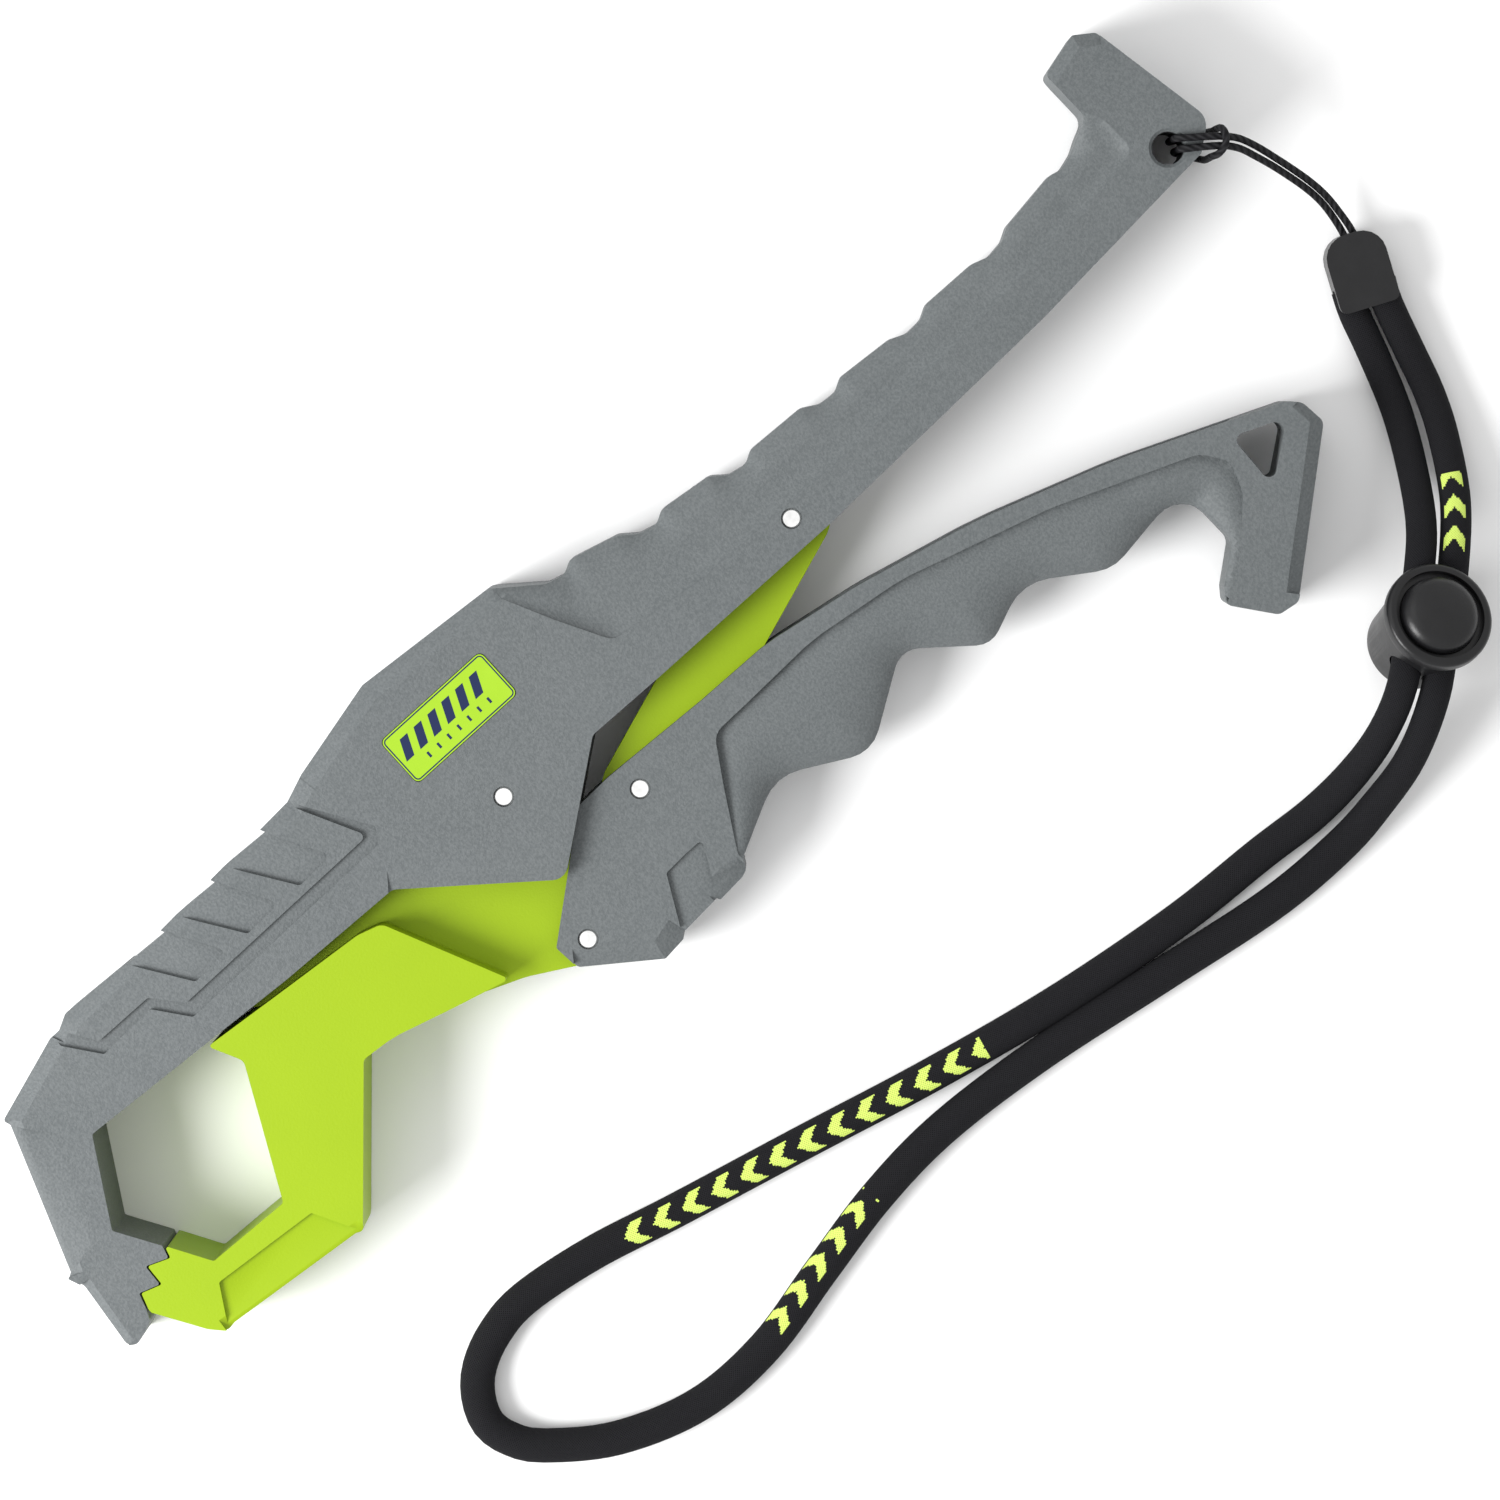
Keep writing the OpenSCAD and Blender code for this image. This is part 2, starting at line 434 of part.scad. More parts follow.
// Lanyard: a thin tether hitched through the handle, a two-part coupler, a wrist cord and its lock
module tether_cord() {
    color([0.1, 0.1, 0.11]) placed() tube(tether_route, tether_d, 8);
}
module wrist_cord() {
    color([0.1, 0.1, 0.11]) placed() tube(cord_route, cord_d, 10);
}
module coupler_block(z, h) {
    r = coupler_w / 2;
    translate([0, 0, z]) linear_extrude(h) polygon([for (p = rounded([[-coupler_l / 2, -r, r * 0.8],
        [coupler_l / 2, -r, 1.2], [coupler_l / 2, r, 1.2], [-coupler_l / 2, r, r * 0.8]])) p]);
}
module at_coupler() {
    translate(coupler_at) rotate([0, 0, coupler_turn]) children();
}
module coupler_sockets() {
    placed() at_coupler() for (s = [-1, 1]) {
        translate([coupler_l / 2 - socket_l, s * strand_pitch / 2, 0]) rotate([0, 90, 0])
            cylinder(h = socket_l + 1, r = cord_d / 2 + 0.2, $fn = 32);
        translate([-coupler_l / 2 - 1, s * 0.75, 0]) rotate([0, 90, 0])
            cylinder(h = 4, r = tether_d / 2 + 0.15, $fn = 24);
    }
}
module coupler_front() {
    color([0.12, 0.12, 0.13]) difference() {
        placed() at_coupler() coupler_block(0.02, coupler_t / 2 - 0.02);
        coupler_sockets();
    }
}
module coupler_back() {
    color([0.12, 0.12, 0.13]) difference() {
        placed() at_coupler() coupler_block(-coupler_t / 2, coupler_t / 2);
        coupler_sockets();
    }
}
module at_lock() {
    translate(lock_at) rotate([0, lock_tilt, lock_turn]) children();
}
// The pair of cord holes, stretched along the lock's axis by the given length
module strand_holes(stretch) {
    for (s = [-1, 1]) for (up = [0, 1]) translate([0, 0, lock_bore_h + up * stretch])
        rotate([0, 0, lock_bore_turn]) rotate([0, 90 + lock_bore_dip, 0])
            translate([0, s * strand_pitch / 2, -15]) cylinder(h = 30, r = lock_bore_d / 2, $fn = 32);
    if (stretch > 0) rotate([0, 0, lock_bore_turn]) translate([0, 0, lock_bore_h])
        for (s = [-1, 1]) multmatrix([[1, 0, 0, 0], [0, 1, 0, 0], [-tan(lock_bore_dip), 0, 1, 0]])
            translate([-15, s * strand_pitch / 2 - lock_bore_d / 2, 0]) cube([30, lock_bore_d, stretch]);
}
module lock_barrel() {
    rim_r = 0.8;
    groove_depth = 1.1;
    groove_r = plunger_d / 2 + 0.95;
    color([0.12, 0.12, 0.13]) placed() at_lock() difference() {
        rotate_extrude($fn = 64) polygon(rounded([[0, 0, 0], [barrel_d / 2 - 0.6, 0, 0.5],
            [barrel_d / 2, barrel_h - flange_t, 0], [flange_d / 2, barrel_h - flange_t, 0.5],
            [flange_d / 2, barrel_h, rim_r], [0, barrel_h, 0]]));
        translate([0, 0, barrel_floor]) cylinder(h = barrel_h, r = plunger_d / 2 + plunger_gap, $fn = 64);
        translate([0, 0, barrel_h - groove_depth]) cylinder(h = 2 * groove_depth, r = groove_r, $fn = 64);
        strand_holes(0);
    }
}
module lock_button() {
    crown_r = 2.2;
    color([0.14, 0.14, 0.15]) placed() at_lock() difference() {
        rotate_extrude($fn = 64) polygon(rounded([[0, plunger_low, 0], [plunger_d / 2, plunger_low, 0.4],
            [plunger_d / 2, barrel_h + button_proud, crown_r], [0, barrel_h + button_proud + button_crown, 0]]));
        strand_holes(button_travel);
    }
}
module lock_spring() {
    turns = 3;
    per_turn = 14;
    r = plunger_d / 2 - 1.6;
    low = barrel_floor + lock_wire / 2 + 0.02;
    high = plunger_low - lock_wire / 2 - 0.02;
    color("silver") placed() at_lock() tube([for (i = [0:turns * per_turn]) let (a = i * 360 / per_turn)
        [r * cos(a), r * sin(a), low + (high - low) * i / (turns * per_turn)]], lock_wire, 6);
}

hook_frame();
moving_jaw();
toggle_link();
trigger();
jaw_pin();
trigger_pin();
link_pin();
handle_pin();
jaw_spring();
badge();
tether_cord();
coupler_front();
coupler_back();
wrist_cord();
lock_barrel();
lock_button();
lock_spring();
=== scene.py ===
import json
import math
import bmesh
import bpy
from mathutils import Matrix, Vector, kdtree


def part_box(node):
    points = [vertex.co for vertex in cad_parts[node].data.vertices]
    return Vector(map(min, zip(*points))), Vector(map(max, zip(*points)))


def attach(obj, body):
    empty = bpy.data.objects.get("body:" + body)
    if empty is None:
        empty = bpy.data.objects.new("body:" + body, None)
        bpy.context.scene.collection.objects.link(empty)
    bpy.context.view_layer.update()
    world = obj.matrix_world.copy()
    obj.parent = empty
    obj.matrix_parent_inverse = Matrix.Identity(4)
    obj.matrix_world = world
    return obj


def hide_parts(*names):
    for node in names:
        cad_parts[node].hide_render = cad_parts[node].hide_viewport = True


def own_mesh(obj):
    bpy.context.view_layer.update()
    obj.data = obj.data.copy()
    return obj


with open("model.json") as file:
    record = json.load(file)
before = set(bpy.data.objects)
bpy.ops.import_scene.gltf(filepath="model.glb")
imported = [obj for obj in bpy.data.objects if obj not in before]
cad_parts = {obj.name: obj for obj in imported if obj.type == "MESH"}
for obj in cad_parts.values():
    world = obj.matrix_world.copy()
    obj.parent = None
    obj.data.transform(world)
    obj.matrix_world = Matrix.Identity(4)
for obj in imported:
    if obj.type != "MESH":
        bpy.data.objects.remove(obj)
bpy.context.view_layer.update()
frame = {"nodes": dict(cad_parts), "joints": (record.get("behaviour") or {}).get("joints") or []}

# Where the tool lies: flat on its back on a white sweep, seen from about a metre above.
# Places are in millimetres from the jaw pin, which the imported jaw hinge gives, and z from the sweep.
MM = 0.001
jaw_pin = next(j["pos_m"] for j in frame["joints"] if j["name"] == "jaw_hinge")


def place(x, y, z):
    return Vector((jaw_pin[0] + x * MM, jaw_pin[1] + y * MM, z * MM))


camera = bpy.data.objects.new("camera", bpy.data.cameras.new("camera"))
bpy.context.scene.collection.objects.link(camera)
camera.data.sensor_width = 36
camera.data.lens = 142.92
camera.data.clip_end = 20
camera_at = place(81.55, 16.51, 941)
back = -Vector((-0.05327, -0.04152, -0.99772)).normalized()
up = Vector((0.70454, 0.70650, -0.06702))
across = up.cross(back).normalized()
camera.matrix_world = Matrix.Translation(camera_at) @ Matrix(
    (across, back.cross(across), back)).transposed().to_4x4()
bpy.context.scene.camera = camera


# Wrist cord: a soft black woven tube about 0.53 m long, doubled through the lock.
# It leaves the coupler, lies round a wrist-sized loop and comes back beside itself.
class Link:
    """One output of a node. Sums and products of links add their own maths nodes."""

    def __init__(self, finish, socket):
        self.finish, self.socket = finish, socket

    def maths(self, operation, *others):
        return self.finish.node("Math", {"operation": operation}, [self, *others])

    def __add__(self, other):
        return self.maths("ADD", other)

    def __sub__(self, other):
        return self.maths("SUBTRACT", other)

    def __mul__(self, other):
        return self.maths("MULTIPLY", other)

    def __gt__(self, other):
        return self.maths("GREATER_THAN", other)

    def __lt__(self, other):
        return self.maths("LESS_THAN", other)

    def __rsub__(self, other):
        return self.finish.node("Math", {"operation": "SUBTRACT"}, [other, self])

    __radd__, __rmul__ = __add__, __mul__


class Finish:
    """A material under construction."""

    def __init__(self, name, **steady):
        self.material = bpy.data.materials.new(name)
        self.material.use_nodes = True
        self.tree = self.material.node_tree
        self.shader = self.tree.nodes["Principled BSDF"]
        for socket, value in steady.items():
            self.shader.inputs[socket.replace("_", " ")].default_value = value

    def node(self, kind, settings=None, values=(), out=0):
        made = self.tree.nodes.new("ShaderNode" + kind)
        for key, value in (settings or {}).items():
            if key == "stops":
                for i, (at, colour) in enumerate(value):
                    stop = made.color_ramp.elements[i] if i < 2 else made.color_ramp.elements.new(at)
                    stop.position, stop.color = at, (*colour, 1)
            else:
                setattr(made, key, value)
        pairs = values.items() if isinstance(values, dict) else enumerate(values)
        for key, value in pairs:
            if isinstance(value, Link):
                self.tree.links.new(value.socket, made.inputs[key])
            else:
                made.inputs[key].default_value = value
        return Link(self, made.outputs[out])

    def set(self, socket, link):
        self.tree.links.new(link.socket, self.shader.inputs[socket])

    def coordinates(self):
        return self.node("TexCoord", out="Object")

    def noise(self, scale, detail=2, rough=0.5, where=None):
        return self.node("TexNoise", {}, {"Vector": where or self.coordinates(), "Scale": scale,
                                          "Detail": detail, "Roughness": rough})

    def blend(self, share, first, second):
        def colour(c):
            return c if isinstance(c, Link) else (*c, 1)
        return self.node("Mix", {"data_type": "RGBA"},
                         {0: share, 6: colour(first), 7: colour(second)}, out=2)

    def bump(self, height, depth, strength=1.0):
        self.set("Normal", self.node("Bump", {}, {"Height": height, "Distance": depth,
                                                 "Strength": strength}))


def smooth_path(points, step):
    """A curve through the points, as points about one step apart."""
    path = []
    for i in range(len(points) - 1):
        a, b = points[max(i - 1, 0)], points[i]
        c, d = points[i + 1], points[min(i + 2, len(points) - 1)]
        count = max(1, round((c - b).length / step))
        for k in range(count):
            t = k / count
            path.append(0.5 * (2 * b + (c - a) * t + (2 * a - 5 * b + 4 * c - d) * t * t
                               + (3 * b - a - 3 * c + d) * t ** 3))
    return path + [points[-1]]


def path_length(path):
    return sum((q - p).length for p, q in zip(path, path[1:]))


def woven_tube(name, path, sizes, around, level=None):
    """A closed tube along the path, with a UV map: u once round it, v its length in metres.
    sizes gives the width and the height at a point of the path."""
    tangents = [(path[min(i + 1, len(path) - 1)] - path[max(i - 1, 0)]).normalized()
                for i in range(len(path))]
    flats = []
    flat = Vector((0.1, 0.2, 1))
    for i, tangent in enumerate(tangents):
        flat = level if level is not None else flat
        flat = (flat - tangent * flat.dot(tangent)).normalized()
        flats.append(flat)
    gone = [0.0]
    for p, q in zip(path, path[1:]):
        gone.append(gone[-1] + (q - p).length)
    shape = bmesh.new()
    cloth = shape.loops.layers.uv.new("Cloth")
    rings = len(path) - 1
    bmesh.ops.create_grid(shape, x_segments=around, y_segments=rings, size=0.5, calc_uvs=True)
    for face in shape.faces:
        for loop in face.loops:
            loop[cloth].uv = (loop.vert.co.x + 0.5, gone[round((loop.vert.co.y + 0.5) * rings)])
    for vert in shape.verts:
        i = round((vert.co.y + 0.5) * rings)
        turn = (vert.co.x + 0.5) * math.tau
        side = tangents[i].cross(flats[i])
        width, height = sizes(path[i])
        vert.co = path[i] + side * (math.cos(turn) * width / 2) + flats[i] * (math.sin(turn) * height / 2)
    bmesh.ops.remove_doubles(shape, verts=shape.verts, dist=1e-7)
    bmesh.ops.holes_fill(shape, edges=shape.edges, sides=0)
    bmesh.ops.recalc_face_normals(shape, faces=shape.faces)
    return finished(name, shape)


def finished(name, shape, angle=180):
    """The shape as an object, smooth except where its faces meet more sharply than the angle."""
    mesh = bpy.data.meshes.new(name)
    for face in shape.faces:
        face.smooth = True
    shape.to_mesh(mesh)
    shape.free()
    piece = bpy.data.objects.new(name, mesh)
    bpy.context.scene.collection.objects.link(piece)
    if angle < 180:
        mesh.set_sharp_from_angle(angle=math.radians(angle))
    return piece


def cord_sizes(at):
    """The cord is pressed round inside the lock and lies flatter round the loop."""
    pressed_until, easing_over = place(108, 0, 0).x, 24 * MM
    free = min(1, max(0, (pressed_until - at.x) / easing_over))
    free = free * free * (3 - 2 * free)
    width, height, spreads, sinks = 4.9, 4.3, 0.65, 0.2
    return (width + spreads * free) * MM, (height - sinks * free) * MM


cord_route = [place(*p) for p in (
    (148.85, -37.4, 3.3), (147.1, -41, 3.3), (145, -47, 3), (141.2, -56.4, 2.9), (136.4, -64.6, 4.4),
    (131.4, -71.2, 7.4), (126.4, -75.6, 10.1), (118.9, -81.1, 11.8), (111.3, -86.7, 13),
    (104, -90.2, 9.8), (96.3, -92, 5.8), (87.5, -92.4, 3.2), (77, -91.2, 2.3), (60, -89.4, 2.3),
    (37.6, -85.2, 2.3), (15, -79.3, 2.3), (-7, -72.6, 2.3), (-28.4, -66.2, 2.3), (-43, -61.6, 2.3),
    (-55.6, -59.1, 2.3), (-62.8, -59.6, 2.3), (-68.4, -61.7, 2.3), (-72, -64.9, 2.3), (-74, -69.2, 2.3),
    (-73.2, -73.6, 2.3), (-70.2, -78, 2.3), (-61, -85.4, 2.3), (-48, -90.7, 2.3), (-34, -91.6, 2.3),
    (-19, -89.2, 2.3), (-4, -87, 2.3), (11, -86.7, 2.3), (30, -89.2, 2.3), (52, -93.8, 2.3),
    (72.4, -98, 2.3), (86.4, -99.1, 2.7), (95.5, -98.3, 4.8), (104.5, -96.2, 8.8), (113.8, -91.5, 12.2),
    (121.9, -85.6, 10.8), (129.5, -80, 9.2), (137.4, -73, 6), (143.4, -64.6, 3.8), (146.8, -58, 2.9),
    (149.2, -51.2, 3), (151.9, -43.5, 3.3), (153.75, -39.95, 3.3))]
cord_path = smooth_path(cord_route, 1.6 * MM)
cord_sides = 28
wrist_cord = woven_tube("wrist_cord_braid", cord_path, cord_sizes, cord_sides, Vector((0, 0, 1)))

# Where the lime rows start and end along the cord, in metres, and how far round it they are turned
woven_runs = ((0.156, 0.2215, 0.0), (0.3155, 0.342, 0.08), (0.487, 0.5, 0.02))


def woven_cloth():
    """Black plain weave, with lime threads that make rows of plain chevrons on three stretches."""
    cloth = Finish("black_braid", Roughness=0.85, Specular_IOR_Level=0.12)
    uv = cloth.node("UVMap", {"uv_map": "Cloth"})
    u = cloth.node("SeparateXYZ", {}, [uv])
    v = Link(cloth, u.socket.node.outputs[1])
    ribs, pitch = 34, 0.42 * MM
    one = (u * (ribs * math.pi) + v * (math.pi / pitch)).maths("SINE").maths("ABSOLUTE")
    two = (u * (ribs * math.pi) - v * (math.pi / pitch)).maths("SINE").maths("ABSOLUTE")
    strands = one.maths("MAXIMUM", two)
    fuzz = cloth.noise(2200, 3, 0.65)
    black = cloth.blend(strands * 0.55 + fuzz * 0.5, (0.0015, 0.0015, 0.002), (0.014, 0.014, 0.016))
    thread = 0.36 * MM
    chevron = 5.2 * MM
    top, stitch, half_width = 0.25, 0.016, 0.125  # shares of a turn round the cord
    slope, lime_share = 3.2, 0.42
    column = (v * (1 / thread)).maths("FLOOR") * thread
    marks = 0.0
    for start, end, turned in woven_runs:
        row = ((u - (top + turned)) * (1 / stitch)).maths("FLOOR") * stitch
        reach = row.maths("ABSOLUTE")
        stripe = (column * (1 / chevron) + reach * slope).maths("FRACT") < lime_share
        marks = stripe * (reach < half_width) * (v > start) * (v < end) + marks
    lime = cloth.blend(strands, (0.25, 0.33, 0.05), (0.62, 0.78, 0.16))
    cloth.set("Base Color", cloth.blend(marks, black, lime))
    cloth.bump(strands * 0.8 + fuzz * 0.4 + marks * 0.6, 0.0002, 0.8)
    return cloth


wrist_cord.data.materials.append(woven_cloth().material)
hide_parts("wrist_cord")
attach(wrist_cord, "frame")
path_length(cord_path)

# Tether: a thin black line, doubled, hitched through the handle's corner and led into the coupler.
tether_width = 1.15 * MM
tether_route = [place(*p) for p in (
    (154.5, -34.2, 3.3), (155.9, -31.6, 3.4), (156.6, -27.2, 4.4), (156.7, -24, 6),
    (156.3, -20.9, 8), (155.6, -17.8, 10.2), (154.8, -14.8, 12.4), (153.8, -11.3, 14.6), (152.6, -8.4, 16.8),
    (151.2, -6.6, 18.3), (149.6, -5, 18.7), (147.6, -3.2, 18.7), (146, -1.8, 18.7), (145.5, -1.3, 17.5),
    (145.5, -1.3, 9), (145.5, -1.3, 1.8), (146.1, -1.7, 0.8), (149.8, -3.8, 0.8), (151.1, -4.7, 2.2),
    (151.1, -4.8, 9), (151.1, -4.8, 16.5), (151.6, -5.2, 18.8), (151.3, -6.3, 19.8), (150.2, -7.4, 19.8),
    (148.6, -7.7, 18.8), (147.6, -7.3, 16.5), (147.5, -7.3, 9), (147.4, -7.2, 2.2), (146.8, -6.2, 0.8),
    (145.2, -3.6, 0.8), (144.9, -3, 1.8), (144.9, -3, 9), (144.9, -3, 17.5), (145.3, -3.4, 18.7),
    (146.8, -4.6, 18.7), (148.6, -6.1, 18.7), (150.2, -7.6, 18.1), (151.6, -9.6, 16.6), (152.6, -12.2, 14.6),
    (153.6, -15.2, 12.4), (154.4, -18.1, 10.2), (155.1, -21.1, 8), (155.5, -24, 6), (155.4, -27, 4.4),
    (154.6, -30.9, 3.4), (153.2, -33.6, 3.3))]
tether_path = smooth_path(tether_route, 0.8 * MM)
tether_sides = 12
tether = woven_tube("tether_line", tether_path, lambda at: (tether_width, tether_width),
                    tether_sides)


def laid_line():
    line = Finish("black_line", Roughness=0.7, Specular_IOR_Level=0.2)
    uv = line.node("UVMap", {"uv_map": "Cloth"})
    split = line.node("SeparateXYZ", {}, [uv])
    u, v = split, Link(line, split.socket.node.outputs[1])
    strands, lay_length = 3, 1.5 * MM
    lay = (u * (strands * math.tau) + v * (math.tau / lay_length)).maths("SINE") * 0.5 + 0.5
    line.set("Base Color", line.blend(lay, (0.002, 0.002, 0.003), (0.016, 0.016, 0.018)))
    line.bump(lay, 0.0002)
    return line


tether.data.materials.append(laid_line().material)
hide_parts("tether_cord")
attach(tether, "frame")
path_length(tether_path)


# Light: one broad soft box above and to the badge's left, a white room, and a white sweep under the tool.
world = bpy.data.worlds.new("white_room")
bpy.context.scene.world = world
world.use_nodes = True
world.node_tree.nodes["Background"].inputs["Color"].default_value = (1, 1, 1, 1)
world.node_tree.nodes["Background"].inputs["Strength"].default_value = 0.85


def soft_box(name, where, aim, size, power):
    lamp = bpy.data.objects.new(name, bpy.data.lights.new(name, "AREA"))
    bpy.context.scene.collection.objects.link(lamp)
    lamp.data.shape = "DISK"
    lamp.data.size = size
    lamp.data.energy = power
    lamp.location = where
    lamp.rotation_euler = (where - aim).to_track_quat("Z", "Y").to_euler()


soft_box("key_box", place(-620, 260, 560), place(30, -30, 0), 0.5, 11)
soft_box("fill_box", place(300, 700, 900), place(30, -30, 0), 0.9, 1.5)
bpy.context.scene.view_settings.view_transform = "Standard"
sweep = bmesh.new()
bmesh.ops.create_grid(sweep, x_segments=4, y_segments=4, size=2.5)
sweep = finished("sweep", sweep)
sweep.data.transform(Matrix.Translation((0, 0, -0.0002)))
paper = Finish("white_paper", Roughness=0.9)
paper.set("Base Color", paper.blend(paper.noise(6), (0.86, 0.86, 0.86), (0.9, 0.9, 0.9)))
sweep.data.materials.append(paper.material)


# Grey frame: hook, body and handle moulded in one piece of glass-filled nylon, open along its
# lower edge so that the trigger folds into it. The handle's finger waves round off towards both faces.
def moulded_grey():
    grey = Finish("grey_nylon", Roughness=0.6, Specular_IOR_Level=0.4)
    cloud = grey.noise(70, 3, 0.55)
    grain = grey.noise(2300, 2, 0.6)
    speck = ((grain - 0.36) * 3.5).maths("MAXIMUM", 0.0).maths("MINIMUM", 1.0)
    tone = grey.blend(cloud, (0.076, 0.086, 0.089), (0.1, 0.11, 0.113))
    grey.set("Base Color", grey.blend(speck * 0.3, tone, (0.18, 0.193, 0.197)))
    grey.bump(grain, 0.00012, 0.8)
    return grey


def merged_copy(node):
    """A CAD node's mesh as welded flat faces, ready to be refined."""
    shape = bmesh.new()
    shape.from_mesh(frame["nodes"][node].data)
    bmesh.ops.remove_doubles(shape, verts=shape.verts, dist=2e-6)
    bmesh.ops.dissolve_limit(shape, angle_limit=math.radians(0.4), verts=shape.verts, edges=shape.edges)
    return shape


def soften_grip(shape, floor_z, face_z, profile, grid):
    """Rounds the flat floor of a grip recess: from its ridge, over a low crown, down to its wavy edge."""
    out = 1 if face_z > floor_z else -1

    def floor_faces():
        return [f for f in shape.faces if all(abs(v.co.z - floor_z) < 1e-6 for v in f.verts)]

    first = floor_faces()
    low = [min(v.co[axis] for f in first for v in f.verts) for axis in (0, 1)]
    high = [max(v.co[axis] for f in first for v in f.verts) for axis in (0, 1)]
    for axis in (0, 1):
        count = int((high[axis] - low[axis]) / grid)
        for i in range(1, count):
            at, normal = [0, 0, 0], [0, 0, 0]
            at[axis], normal[axis] = low[axis] + (i + 0.37) * grid, 1
            faces = floor_faces()
            geometry = {*faces, *(e for f in faces for e in f.edges), *(v for f in faces for v in f.verts)}
            bmesh.ops.bisect_plane(shape, geom=list(geometry), dist=1e-7, plane_co=at, plane_no=normal)
    floor = set(floor_faces())
    ridge, edge = [], []
    for face in floor:
        for line in face.edges:
            beyond = [f for f in line.link_faces if f not in floor]
            if beyond:
                up = max((v.co.z - floor_z) * out for v in beyond[0].verts) > 1e-5
                a, b = (v.co.xy.copy() for v in line.verts)
                (ridge if up else edge).extend(a.lerp(b, k / 6) for k in range(7))
    trees = []
    for points in (ridge, edge):
        tree = kdtree.KDTree(len(points))
        for i, p in enumerate(points):
            tree.insert((p.x, p.y, 0), i)
        tree.balance()
        trees.append(tree)
    fades_in = 8 * MM
    for vert in {v for f in floor for v in f.verts}:
        flat = (vert.co.x, vert.co.y, 0)
        from_ridge, from_edge = (tree.find(flat)[2] for tree in trees)
        way = from_ridge + from_edge
        share = from_ridge / way if way > 1e-7 else 0
        vert.co.z = face_z - out * profile(share) * min(1, way / fades_in)
    bmesh.ops.triangulate(shape, faces=[f for f in floor if len(f.verts) > 4])


def through(rows):
    """Straight lines through (share, millimetres) rows, as a depth in metres."""
    def at(share):
        for (s0, d0), (s1, d1) in zip(rows, rows[1:]):
            if share <= s1:
                t = (share - s0) / (s1 - s0)
                return (d0 + (d1 - d0) * t) * MM
        return rows[-1][1] * MM
    return at


def mould(name, node, shape, finish, body, soft=0.3 * MM):
    """A moulding that stands for a CAD node, with its sharp edges broken by soft."""
    for face in shape.faces:
        face.smooth = True
    piece = finished(name, shape, 20)
    if soft:
        rim = piece.modifiers.new("broken_edges", "BEVEL")
        rim.width, rim.segments, rim.limit_method = soft, 2, "ANGLE"
        rim.angle_limit = math.radians(35)
        rim.harden_normals = True
        rim.use_clamp_overlap = True
    piece.data.materials.append(finish.material)
    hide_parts(node)
    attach(piece, body)
    return piece


grey = moulded_grey()
frame_shape = merged_copy("hook_frame")
frame_low, frame_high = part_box("hook_frame")
frame_grip = through([(0, 0.2), (0.06, 0.6), (0.14, 0.95), (0.26, 1.2), (0.42, 1.3), (0.6, 1.35), (0.74, 1.6),
                      (0.86, 2.1), (0.94, 2.6), (1, 3.2)])
grip_drop = 1.3 * MM
grip_grid = 0.9 * MM
soften_grip(frame_shape, frame_high[2] - grip_drop, frame_high[2], frame_grip, grip_grid)
soften_grip(frame_shape, frame_low[2] + grip_drop, frame_low[2], frame_grip, grip_grid)
mould("frame_moulding", "hook_frame", frame_shape, grey, "frame")


# Trigger: a grey channel moulding with a thin rim and a rounded finger grip below a stepped line.
trigger_shape = merged_copy("trigger")
trigger_low, trigger_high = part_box("trigger")
trigger_grip = through([(0, 1.35), (0.06, 1.2), (0.18, 1.0), (0.34, 0.95), (0.5, 1.15), (0.66, 1.65),
                        (0.8, 2.3), (0.9, 2.95), (0.96, 3.45), (1, 4.1)])
soften_grip(trigger_shape, trigger_high[2] - grip_drop, trigger_high[2], trigger_grip, grip_grid)
soften_grip(trigger_shape, trigger_low[2] + grip_drop, trigger_low[2], trigger_grip, grip_grid)
mould("trigger_moulding", "trigger", trigger_shape, grey, "trigger")


# Lime jaw and link: nylon in a bright lime, smoother than the grey, turning on steel pins.
def moulded_lime():
    lime = Finish("lime_nylon", Roughness=0.5, Specular_IOR_Level=0.3)
    cloud = lime.noise(60, 3, 0.55)
    grain = lime.noise(2600, 2, 0.6)
    tone = lime.blend(cloud, (0.235, 0.352, 0.0004), (0.262, 0.39, 0.0006))
    lime.set("Base Color", lime.blend(grain * 0.25, tone, (0.31, 0.44, 0.002)))
    lime.bump(grain, 0.00005, 0.45)
    return lime


lime = moulded_lime()
for node, body in (("moving_jaw", "jaw"), ("toggle_link", "link")):
    mould(node + "_moulding", node, merged_copy(node), lime, body)


def dress(node, material):
    piece = frame["nodes"][node]
    piece.data.materials.clear()
    piece.data.materials.append(material)
    return piece


# Pins and springs: turned and drawn steel.
def steel(name, tone):
    metal = Finish(name, Roughness=0.3, Metallic=1.0)
    scratch = metal.noise(900, 3, 0.6)
    metal.set("Base Color", metal.blend(scratch, tone, (0.95, 0.95, 0.94)))
    metal.set("Roughness", scratch * 0.3 + 0.25)
    return metal


pin_steel = steel("pin_steel", (0.82, 0.82, 0.81))
for node in ("jaw_pin", "trigger_pin", "link_pin", "handle_pin", "jaw_spring"):
    dress(node, pin_steel.material)

# The lock's coil spring, in pin steel, on a mesh of its own. The real coil closes up as its button is
# pressed; this script does not move it.
lock_coil = finished("lock_coil", merged_copy("lock_spring"))
lock_coil.data.materials.append(pin_steel.material)
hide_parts("lock_spring")
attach(lock_coil, "frame")
lock_at, lock_axis = place(116.6, -84.3, 3.6), Vector((0.4405, 0.1098, 0.891))
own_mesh(lock_coil)


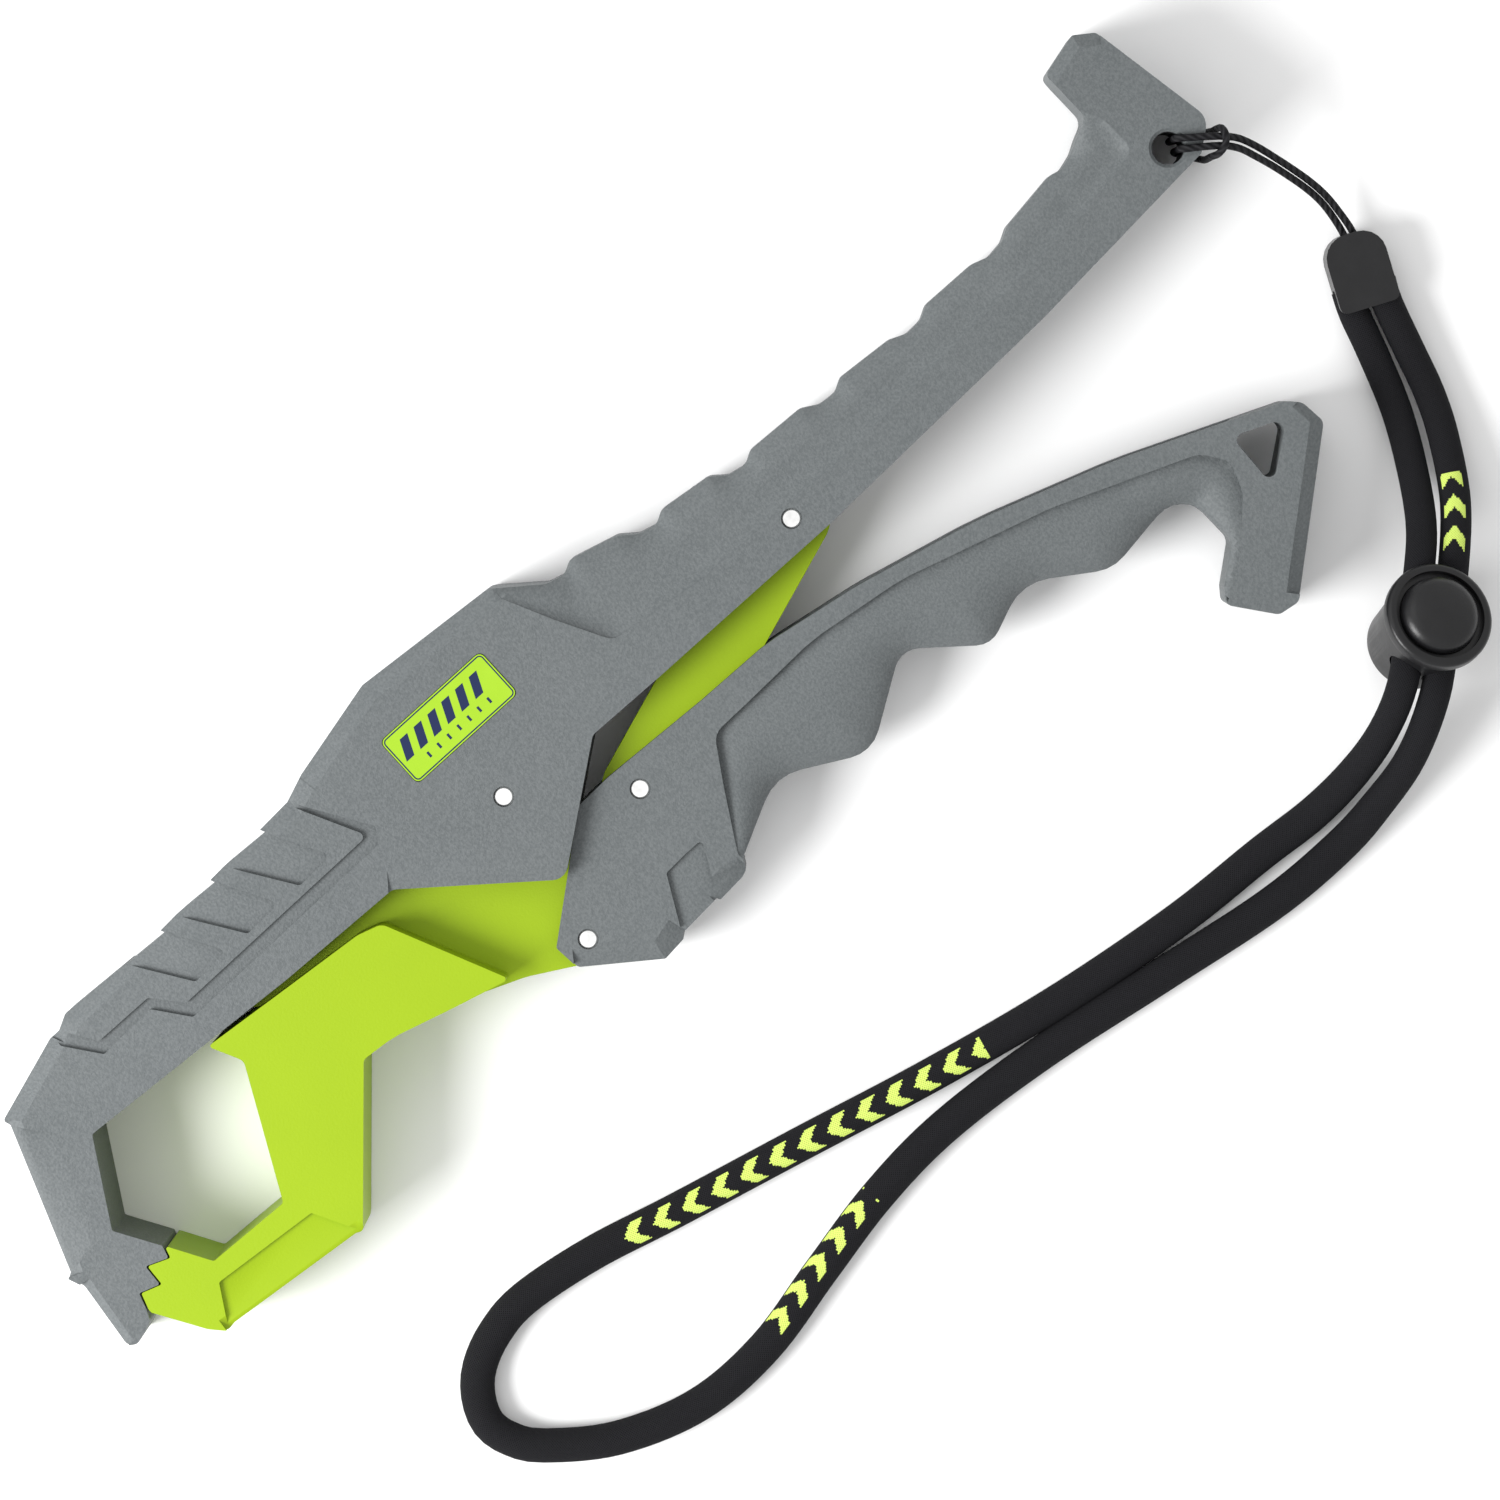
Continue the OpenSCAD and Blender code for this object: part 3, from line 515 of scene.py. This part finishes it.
# Black mouldings: the two-part coupler that joins tether to cord, and the barrel and button of the lock.
def moulded_black(name, rough):
    black = Finish(name, Roughness=rough, Specular_IOR_Level=0.4)
    cloud = black.noise(300, 3, 0.6)
    black.set("Base Color", black.blend(cloud, (0.004, 0.004, 0.0045), (0.009, 0.009, 0.01)))
    black.set("Roughness", black.noise(500, 3, 0.6) * 0.14 + (rough - 0.07))
    black.bump(black.noise(2500), 0.00004, 0.5)
    return black


black = moulded_black("black_nylon", 0.36)
for node, body in (("coupler_front", "frame"), ("coupler_back", "frame"), ("lock_barrel", "frame"),
                   ("lock_button", "button")):
    mould(node + "_moulding", node, merged_copy(node), black, body, 0.35 * MM)


# Badge: a thin printed plate with round corners, glued into a shallow pocket of the frame.
# Its print is a thin dark border, a row of slanted bars and a row of ticks.
def printed_plate():
    ink = Finish("badge_print", Roughness=0.42, Specular_IOR_Level=0.3)
    low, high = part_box("badge")
    turn = math.radians(-2.8)
    length, width, corner = 21 * MM, 8.7 * MM, 1 * MM
    x = ink.node("SeparateXYZ", {}, [ink.coordinates()])
    y = Link(ink, x.socket.node.outputs[1])
    x, y = x - (low[0] + high[0]) / 2, y - (low[1] + high[1]) / 2
    along = x * math.cos(turn) + y * math.sin(turn)
    over = y * math.cos(turn) - x * math.sin(turn)
    dx = along.maths("ABSOLUTE") - (length / 2 - corner)
    dy = over.maths("ABSOLUTE") - (width / 2 - corner)
    ox, oy = dx.maths("MAXIMUM", 0.0), dy.maths("MAXIMUM", 0.0)
    outside = (ox * ox + oy * oy).maths("SQRT") + dx.maths("MAXIMUM", dy).maths("MINIMUM", 0.0) - corner
    inner, outer = -0.42 * MM, -0.2 * MM
    border = (outside > inner) * (outside < outer)

    def patch(x0, x1, y0, y1):
        return (along > x0 * MM) * (along < x1 * MM) * (over > y0 * MM) * (over < y1 * MM)

    pitch = 2.9 * MM
    lean, shift, bar_share = 0.45, 0.45 * MM, 0.55
    slant = along - over * lean + shift
    bars = ((slant * (1 / pitch)).maths("FRACT") < bar_share) * (slant > -3 * pitch) * (slant < 3 * pitch)
    tick_pitch, tick_share = 2.1 * MM, 0.2
    ticks = (along * (1 / tick_pitch)).maths("FRACT") < tick_share
    marks = bars * patch(-9.6, 9.6, -0.7, 2.6) + ticks * patch(-6.4, 6.8, -2.7, -1.7)
    lime = ink.blend(ink.noise(300), (0.27, 0.46, 0.012), (0.3, 0.5, 0.018))
    ink.set("Base Color", ink.blend((marks + border).maths("MINIMUM", 1.0), lime, (0.006, 0.014, 0.06)))
    return ink


dress("badge", printed_plate().material)
